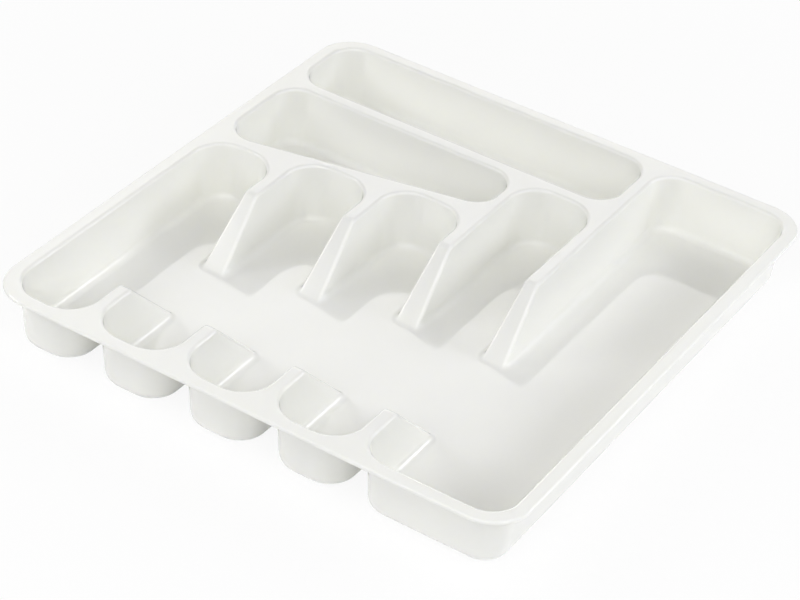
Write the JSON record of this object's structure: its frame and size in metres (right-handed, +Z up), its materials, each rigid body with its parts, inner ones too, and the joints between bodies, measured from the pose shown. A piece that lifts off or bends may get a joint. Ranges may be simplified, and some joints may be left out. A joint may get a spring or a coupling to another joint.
{
  "type": "cutlery tray",
  "caption": "Shallow moulded drawer tray with lobed front, long columns between ramped dividers, and two cross compartments behind.",
  "frame": {"origin": "centre of the tray's outline on the plane of its flat underside", "axes": "+X along the lobed front edge towards the wide column, +Y from the front edge to the back, +Z up"},
  "size_m": [0.46, 0.49, 0.053],
  "materials": {
    "tray": "glossy off-white moulded polypropylene"
  },
  "bodies": {
    "root": {"tray": "tray"}
  },
  "joints": []
}
